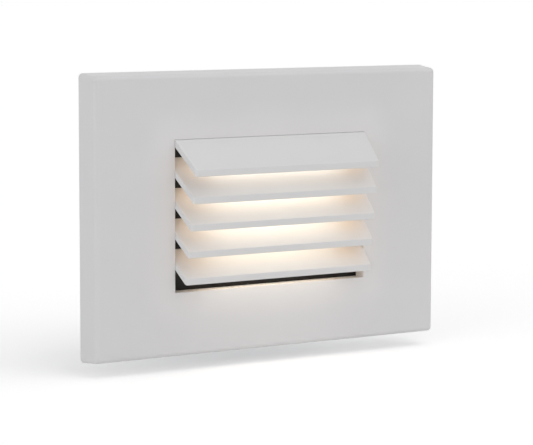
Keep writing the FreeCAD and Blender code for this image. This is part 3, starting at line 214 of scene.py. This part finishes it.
add_camera()
add_floor()
add_world()
add_sun("key", *KEY_SUN)
add_sun("fill", *FILL_SUN)
for gap, power in enumerate(GAP_POWER, start=1):
    add_gap_light(gap, 0.0, GAP_LIGHT_WIDTH, power, WARM)
for gap, power in enumerate(END_POWER, start=1):
    for side, share in ((-1, LEFT_END_SHARE), (1, 1.0)):
        middle = side * (GAP_LIGHT_WIDTH + GAP_END_WIDTH) / 2
        add_gap_light(gap, middle, GAP_END_WIDTH, power * share, AMBER)


# ---------------------------------------------------------------- material helpers

class Paint:
    """A material whose colour, roughness and relief are built up from node layers."""

    def __init__(self, name, color, roughness, metallic=0.0, **sockets):
        self.material = bpy.data.materials.new(name)
        self.material.use_nodes = True
        self.tree = self.material.node_tree
        self.shader = self.tree.nodes["Principled BSDF"]
        self.shader.inputs["Base Color"].default_value = (*color, 1)
        self.shader.inputs["Roughness"].default_value = roughness
        self.shader.inputs["Metallic"].default_value = metallic
        for socket, value in sockets.items():
            self.shader.inputs[socket.replace("_", " ")].default_value = value
        self.color = None
        self.rough = None
        self.normal = None
        self.place = self.add("ShaderNodeTexCoord").outputs["Object"]

    def add(self, kind, **settings):
        node = self.tree.nodes.new(kind)
        for name, value in settings.items():
            setattr(node, name, value)
        return node

    def link(self, source, target):
        self.tree.links.new(source, target)

    def stretched(self, scale):
        node = self.add("ShaderNodeMapping")
        node.inputs["Scale"].default_value = scale
        self.link(self.place, node.inputs["Vector"])
        return node.outputs[0]

    def noise(self, scale, detail=3.0, rough=0.55, stretch=None):
        """Noise from 0 to 1; scale is in features per metre."""
        node = self.add("ShaderNodeTexNoise")
        node.inputs["Scale"].default_value = scale
        node.inputs["Detail"].default_value = detail
        node.inputs["Roughness"].default_value = rough
        self.link(self.stretched(stretch) if stretch else self.place, node.inputs["Vector"])
        return node.outputs["Fac"]

    def cells(self, scale):
        """Distance to the nearest of many scattered points."""
        node = self.add("ShaderNodeTexVoronoi", feature="F1")
        node.inputs["Scale"].default_value = scale
        self.link(self.place, node.inputs["Vector"])
        return node.outputs["Distance"]

    def spread(self, source, low, high, to_low=0.0, to_high=1.0, **settings):
        """Maps low..high onto to_low..to_high."""
        node = self.add("ShaderNodeMapRange", **settings)
        limits = {"From Min": low, "From Max": high, "To Min": to_low, "To Max": to_high}
        for socket, value in limits.items():
            node.inputs[socket].default_value = value
        self.link(source, node.inputs["Value"])
        return node.outputs[0]

    def times(self, first, second):
        node = self.add("ShaderNodeMath", operation="MULTIPLY")
        self.link(first, node.inputs[0])
        if isinstance(second, float):
            node.inputs[1].default_value = second
        else:
            self.link(second, node.inputs[1])
        return node.outputs[0]

    def edge_wear_and_highlight(self, radius, low=0.02, high=0.22):
        """1 on edges that stand out, 0 on flat places; it marks real wear on metal and a painted
        highlight on paint and plastic.
        """
        bevel = self.add("ShaderNodeBevel", samples=4)
        bevel.inputs["Radius"].default_value = radius
        flat = self.add("ShaderNodeNewGeometry")
        dot = self.add("ShaderNodeVectorMath", operation="DOT_PRODUCT")
        self.link(bevel.outputs[0], dot.inputs[0])
        self.link(flat.outputs["Normal"], dot.inputs[1])
        return self.spread(dot.outputs["Value"], 1 - low, 1 - high)

    def height(self, axis, low, high):
        """0 at low and 1 at high along an axis of the frame, in metres."""
        split = self.add("ShaderNodeSeparateXYZ")
        self.link(self.place, split.inputs[0])
        return self.spread(split.outputs[axis], low, high)

    def tint(self, factor, color, most=1.0):
        """Blends the colour so far towards another one, by factor times most."""
        node = self.add("ShaderNodeMix", data_type="RGBA", clamp_factor=True)
        if self.color is None:
            node.inputs["A"].default_value = self.shader.inputs["Base Color"].default_value
        else:
            self.link(self.color, node.inputs["A"])
        node.inputs["B"].default_value = (*color, 1)
        self.link(self.times(factor, float(most)), node.inputs["Factor"])
        self.color = node.outputs["Result"]
        return self

    def polish(self, factor, roughness):
        """Blends the roughness so far towards another one."""
        node = self.add("ShaderNodeMix", data_type="FLOAT", clamp_factor=True)
        if self.rough is None:
            node.inputs["A"].default_value = self.shader.inputs["Roughness"].default_value
        else:
            self.link(self.rough, node.inputs["A"])
        node.inputs["B"].default_value = roughness
        self.link(factor, node.inputs["Factor"])
        self.rough = node.outputs["Result"]
        return self

    def soften(self, radius):
        """Rounds every sharp edge in the shading by a radius in metres."""
        bevel = self.add("ShaderNodeBevel", samples=4)
        bevel.inputs["Radius"].default_value = radius
        if self.normal is not None:
            self.link(self.normal, bevel.inputs["Normal"])
        self.normal = bevel.outputs[0]
        return self

    def relief(self, source, distance, strength=1.0):
        """Bump of that height in metres."""
        bump = self.add("ShaderNodeBump")
        bump.inputs["Distance"].default_value = distance
        bump.inputs["Strength"].default_value = strength
        self.link(source, bump.inputs["Height"])
        if self.normal is not None:
            self.link(self.normal, bump.inputs["Normal"])
        self.normal = bump.outputs[0]
        return self

    def done(self):
        if self.color is not None:
            self.link(self.color, self.shader.inputs["Base Color"])
        if self.rough is not None:
            self.link(self.rough, self.shader.inputs["Roughness"])
        if self.normal is not None:
            self.link(self.normal, self.shader.inputs["Normal"])
        return self.material


def dress(material, *names):
    for name in names:
        node = NODES[name]
        if not node.material_slots:
            node.data.materials.append(material)
        for place in node.material_slots:
            place.link = "OBJECT"
            place.material = material


# ---------------------------------------------------------------- painted faceplate and louvre

def painted_glow_round_opening(paint):
    """Painted glow: the faceplate's paint itself emits a faint warm light round the opening, fading
    over a distance.
    """
    split = paint.add("ShaderNodeSeparateXYZ")
    paint.link(paint.place, split.inputs[0])
    past = paint.add("ShaderNodeCombineXYZ")
    for axis, half in (("X", OPENING_X), ("Z", OPENING_Z)):
        size = paint.add("ShaderNodeMath", operation="ABSOLUTE")
        paint.link(split.outputs[axis], size.inputs[0])
        paint.link(paint.spread(size.outputs[0], half, half + PAINTED_GLOW_REACH), past.inputs[axis])
    far = paint.add("ShaderNodeVectorMath", operation="LENGTH")
    paint.link(past.outputs[0], far.inputs[0])
    near = paint.spread(far.outputs["Value"], 0.0, 1.0, PAINTED_GLOW_STRENGTH, 0.0,
                        interpolation_type="SMOOTHERSTEP")
    paint.link(near, paint.shader.inputs["Emission Strength"])
    paint.shader.inputs["Emission Color"].default_value = PAINTED_GLOW_COLOR


def powder_coat(name, color, lit=False):
    """Smooth satin powder coat: faint orange peel, a little dust, a painted highlight that lightens
    the edges, and with lit a painted glow round the opening.
    """
    paint = Paint(name, color, 0.42, IOR=1.5, Specular_IOR_Level=0.4)
    cloud = paint.noise(22.0, 4.0, 0.6)
    fine = paint.noise(2600.0, 2.0, 0.5)
    peel = paint.noise(420.0, 2.0, 0.5)
    specks = paint.cells(900.0)
    paint.tint(paint.spread(cloud, 0.35, 0.75), [part * 0.965 for part in color])
    paint.tint(paint.spread(specks, 0.055, 0.02), [part * 0.80 for part in color], 0.35)
    # painted highlight: the edges lighter
    paint.tint(paint.edge_wear_and_highlight(0.0009), [min(1.0, part * 1.05) for part in color], 0.6)
    paint.polish(paint.spread(cloud, 0.3, 0.8), 0.50)
    paint.polish(paint.edge_wear_and_highlight(0.0006), 0.34)
    paint.soften(0.00025)
    paint.relief(peel, 0.000035, 0.35)
    paint.relief(fine, 0.000006, 0.3)
    # painted glow: the plate's paint emits a faint warm light round the opening
    if lit:
        painted_glow_round_opening(paint)
    return paint.done()


dress(powder_coat("plate_paint", (0.70, 0.696, 0.704), lit=True), "faceplate")
dress(powder_coat("blade_paint", (0.72, 0.717, 0.72)), *BLADES)


def black_frame():
    paint = Paint("black_frame", (0.006, 0.005, 0.004), 0.50, Specular_IOR_Level=0.25)
    cloud = paint.noise(60.0, 4.0)
    paint.tint(paint.spread(cloud, 0.4, 0.75), (0.012, 0.010, 0.008))
    # painted highlight: the frame's edges lighter
    paint.tint(paint.edge_wear_and_highlight(0.0005), (0.05, 0.045, 0.04), 0.6)
    paint.polish(paint.spread(cloud, 0.3, 0.7), 0.42)
    paint.soften(0.0002)
    paint.relief(paint.noise(2200.0, 2.0), 0.00001, 0.6)
    return paint.done()


dress(black_frame(), "louvre_frame")


# ---------------------------------------------------------------- light

def lens_glow():
    """Frosted pane lit from behind by the LEDs: brightest in its middle, amber at its ends."""
    paint = Paint("frosted_lens", (0.90, 0.86, 0.78), 0.55, Specular_IOR_Level=0.5)
    end_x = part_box("lens")[1].x
    split = paint.add("ShaderNodeSeparateXYZ")
    paint.link(paint.place, split.inputs[0])
    across = paint.add("ShaderNodeMath", operation="ABSOLUTE")
    paint.link(split.outputs["X"], across.inputs[0])
    fade = paint.spread(across.outputs[0], LENS_BRIGHT_X, end_x, 1.0, LENS_END_SHARE,
                        interpolation_type="SMOOTHSTEP")
    grain = paint.spread(paint.noise(1400.0, 3.0), 0.3, 0.7, 0.92, 1.08)
    strength = paint.times(paint.times(fade, grain), LENS_LIGHT)
    paint.link(strength, paint.shader.inputs["Emission Strength"])
    hue = paint.add("ShaderNodeMix", data_type="RGBA")
    hue.inputs["A"].default_value = LENS_END_COLOR
    hue.inputs["B"].default_value = LENS_MIDDLE_COLOR
    paint.link(fade, hue.inputs["Factor"])
    paint.link(hue.outputs["Result"], paint.shader.inputs["Emission Color"])
    paint.polish(paint.spread(paint.noise(90.0), 0.3, 0.7), 0.65)
    paint.relief(paint.noise(3200.0, 3.0, 0.7), 0.00002, 0.8)
    return paint.done()


dress(lens_glow(), "lens")


def led_phosphor():
    """White package round a yellow dish."""
    paint = Paint("led_phosphor", (0.90, 0.89, 0.85), 0.35)
    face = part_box("led_chips")[0].y
    deep = paint.height("Y", face + 0.00008, face + 0.00016)
    paint.tint(deep, (0.95, 0.62, 0.10))
    paint.tint(paint.spread(paint.noise(1500.0), 0.4, 0.7), (0.85, 0.80, 0.66), 0.4)
    paint.relief(paint.noise(4000.0), 0.00001, 0.5)
    return paint.done()


dress(led_phosphor(), "led_chips")


# ---------------------------------------------------------------- metals

def cast_metal(name, color):
    """Bare die casting: matt grey skin with flow marks, fine pits darkened with painted shade, and
    bright edges.
    """
    paint = Paint(name, color, 0.50, metallic=0.85)
    cloud = paint.noise(55.0, 6.0, 0.65)
    flow = paint.noise(120.0, 5.0, 0.6, stretch=(1.0, 0.12, 1.0))
    skin = paint.noise(1500.0, 5.0, 0.7)
    pits = paint.cells(520.0)
    paint.tint(paint.spread(cloud, 0.35, 0.80), [part * 0.84 for part in color])
    paint.tint(paint.spread(flow, 0.52, 0.75), [min(1.0, part * 1.14) for part in color], 0.5)
    paint.tint(paint.spread(skin, 0.45, 0.75), [part * 0.80 for part in color], 0.5)
    # painted shade: the pits darker
    paint.tint(paint.spread(pits, 0.09, 0.04), [part * 0.45 for part in color], 0.6)
    paint.tint(paint.edge_wear_and_highlight(0.0008), [min(1.0, part * 1.35) for part in color], 0.8)
    paint.polish(paint.spread(skin, 0.3, 0.7), 0.62)
    paint.polish(paint.edge_wear_and_highlight(0.0008), 0.28)
    paint.soften(0.0004)
    paint.relief(skin, 0.00005, 0.5)
    paint.relief(paint.spread(pits, 0.04, 0.12), 0.00008, 0.5)
    return paint.done()


def sheet_metal(name, color, stretch):
    """Rolled sheet with fine lines along one direction."""
    paint = Paint(name, color, 0.36, metallic=1.0)
    cloud = paint.noise(28.0, 4.0, 0.6)
    lines = paint.noise(900.0, 3.0, 0.6, stretch=stretch)
    scratches = paint.noise(300.0, 2.0, 0.4, stretch=[part * 1.7 for part in stretch])
    paint.tint(paint.spread(lines, 0.3, 0.75), [part * 0.78 for part in color])
    paint.tint(paint.spread(cloud, 0.45, 0.8), [part * 0.85 for part in color], 0.7)
    paint.tint(paint.spread(scratches, 0.72, 0.76), [min(1.0, part * 1.3) for part in color], 0.5)
    paint.tint(paint.edge_wear_and_highlight(0.0004), [min(1.0, part * 1.3) for part in color], 0.8)
    paint.polish(paint.spread(cloud, 0.3, 0.7), 0.48)
    paint.polish(paint.spread(lines, 0.4, 0.8), 0.30)
    paint.soften(0.00015)
    paint.relief(lines, 0.000006, 0.5)
    return paint.done()


def zinc(name, color):
    """Zinc plate: bright, faintly blue and yellow in patches."""
    paint = Paint(name, color, 0.30, metallic=1.0)
    cloud = paint.noise(260.0, 4.0, 0.6)
    paint.tint(paint.spread(cloud, 0.4, 0.7), (0.62, 0.66, 0.72), 0.6)
    paint.tint(paint.spread(paint.noise(180.0, 3.0), 0.5, 0.75), (0.74, 0.70, 0.56), 0.5)
    paint.tint(paint.edge_wear_and_highlight(0.0002), (0.90, 0.90, 0.88), 0.7)
    paint.polish(paint.spread(cloud, 0.3, 0.7), 0.42)
    paint.soften(0.00012)
    paint.relief(paint.noise(2400.0, 3.0), 0.000008, 0.5)
    return paint.done()


def box_screw_metal():
    """Zinc plate on screws along Y. The thread shows on the shank, not on the head, with painted
    shade in its valleys.
    """
    paint = Paint("box_screw_zinc", (0.72, 0.71, 0.68), 0.32, metallic=1.0)
    wave = paint.add("ShaderNodeTexWave", bands_direction="Y", wave_profile="TRI")
    wave.inputs["Scale"].default_value = WAVE_SCALE / THREAD_PITCH
    wave.inputs["Distortion"].default_value = 0.0
    paint.link(paint.place, wave.inputs["Vector"])
    cloud = paint.noise(260.0, 4.0, 0.6)
    paint.tint(paint.spread(cloud, 0.4, 0.7), (0.60, 0.64, 0.70), 0.6)
    paint.tint(paint.spread(paint.noise(200.0), 0.5, 0.8), (0.76, 0.71, 0.54), 0.5)
    paint.polish(paint.spread(cloud, 0.3, 0.7), 0.44)
    paint.soften(0.00012)
    on_shank = paint.height("Y", 0.0, 0.0002)
    # painted shade: the thread's valleys darker
    thread_valley_shade = paint.times(paint.spread(wave.outputs["Fac"], 0.5, 0.0), on_shank)
    paint.tint(thread_valley_shade, (0.20, 0.20, 0.20), 0.65)
    paint.relief(paint.times(wave.outputs["Fac"], on_shank), 0.0003, 1.0)
    return paint.done()


dress(cast_metal("cast_housing", (0.60, 0.61, 0.62)), "housing")
dress(sheet_metal("cover_sheet", (0.66, 0.67, 0.68), (0.05, 1.0, 1.0)), "rear_cover")
dress(sheet_metal("zinc_sheet", (0.62, 0.64, 0.66), (0.05, 1.0, 1.0)), "mounting_bracket")
dress(zinc("zinc_screws", (0.70, 0.70, 0.68)),
      "housing_screws", "cover_screws", "led_board_screws", "driver_screws")
dress(box_screw_metal(), "box_screws")
dress(zinc("stainless_screw", (0.55, 0.55, 0.55)), "set_screws")


def green_screw():
    paint = Paint("green_screw", (0.03, 0.26, 0.09), 0.34, metallic=0.7)
    cloud = paint.noise(300.0, 4.0)
    paint.tint(paint.spread(cloud, 0.4, 0.7), (0.06, 0.36, 0.14))
    paint.tint(paint.edge_wear_and_highlight(0.0003), (0.62, 0.60, 0.50), 0.7)
    paint.soften(0.00015)
    paint.relief(paint.noise(2600.0, 3.0), 0.00001, 0.5)
    return paint.done()


dress(green_screw(), "ground_screw")


# ---------------------------------------------------------------- rubber, plastic and electronics

def plastic(name, color, roughness, grain=1800.0, depth=0.00001):
    """Moulded plastic or rubber with a fine grain, slightly uneven colour and a painted highlight
    on its edges.
    """
    paint = Paint(name, color, roughness)
    cloud = paint.noise(120.0, 4.0, 0.6)
    paint.tint(paint.spread(cloud, 0.35, 0.75), [part * 0.82 for part in color])
    # painted highlight: the edges lighter
    paint.tint(paint.edge_wear_and_highlight(0.0004), [min(1.0, part * 1.25 + 0.02) for part in color], 0.6)
    paint.polish(paint.spread(cloud, 0.3, 0.7), min(1.0, roughness + 0.12))
    paint.soften(0.0002)
    paint.relief(paint.noise(grain, 3.0, 0.6), depth, 0.7)
    return paint


def foam():
    paint = plastic("foam", (0.055, 0.055, 0.058), 0.9, 1500.0, 0.00005)
    pores = paint.cells(1600.0)
    # painted shade: the pores darker
    paint.tint(paint.spread(pores, 0.16, 0.05), (0.015, 0.015, 0.016), 0.9)
    paint.relief(paint.spread(pores, 0.05, 0.25), 0.0001, 0.8)
    return paint.done()


def fibre_board(name, color):
    """Circuit board: solder mask over a faint glass weave."""
    paint = plastic(name, color, 0.28, 2200.0, 0.000006)
    for axis in ("X", "Z"):
        weave = paint.add("ShaderNodeTexWave", bands_direction=axis)
        weave.inputs["Scale"].default_value = 120.0
        weave.inputs["Distortion"].default_value = 0.4
        paint.link(paint.place, weave.inputs["Vector"])
        paint.tint(weave.outputs["Fac"], [part * 0.8 for part in color], 0.25)
    return paint.done()


dress(foam(), "wall_gasket")
dress(plastic("silicone", (0.62, 0.62, 0.60), 0.55).done(), "lens_gasket", "cover_gasket")
dress(plastic("black_rubber", (0.035, 0.035, 0.037), 0.62, 1400.0, 0.00003).done(), "cable_grommet")
dress(plastic("white_reflector", (0.86, 0.86, 0.84), 0.25).done(), "reflector")
dress(fibre_board("white_board", (0.85, 0.85, 0.83)), "led_board")
dress(fibre_board("green_board", (0.03, 0.22, 0.09)), "driver_board")
dress(plastic("thermal_silicone", (0.42, 0.47, 0.52), 0.7).done(), "thermal_pad")
dress(plastic("lead_insulation", (0.55, 0.05, 0.04), 0.35).done(), "led_leads")
dress(plastic("tray_film", (0.80, 0.80, 0.78), 0.3).done(), "driver_tray")
dress(plastic("capacitor_sleeve", (0.03, 0.035, 0.06), 0.25).done(), "smoothing_capacitors")
dress(plastic("film_capacitor", (0.74, 0.55, 0.06), 0.3).done(), "line_capacitor")
dress(plastic("black_component", (0.03, 0.03, 0.03), 0.5).done(),
      "bridge_rectifier", "control_chip")
dress(plastic("fuse_glass", (0.75, 0.80, 0.78), 0.1).done(), "fuse")
dress(plastic("transformer_tape", (0.80, 0.62, 0.10), 0.3).done(), "transformer")
dress(plastic("ferrite", (0.07, 0.07, 0.075), 0.6).done(), "line_choke")

SCENE.view_settings.view_transform = "Standard"
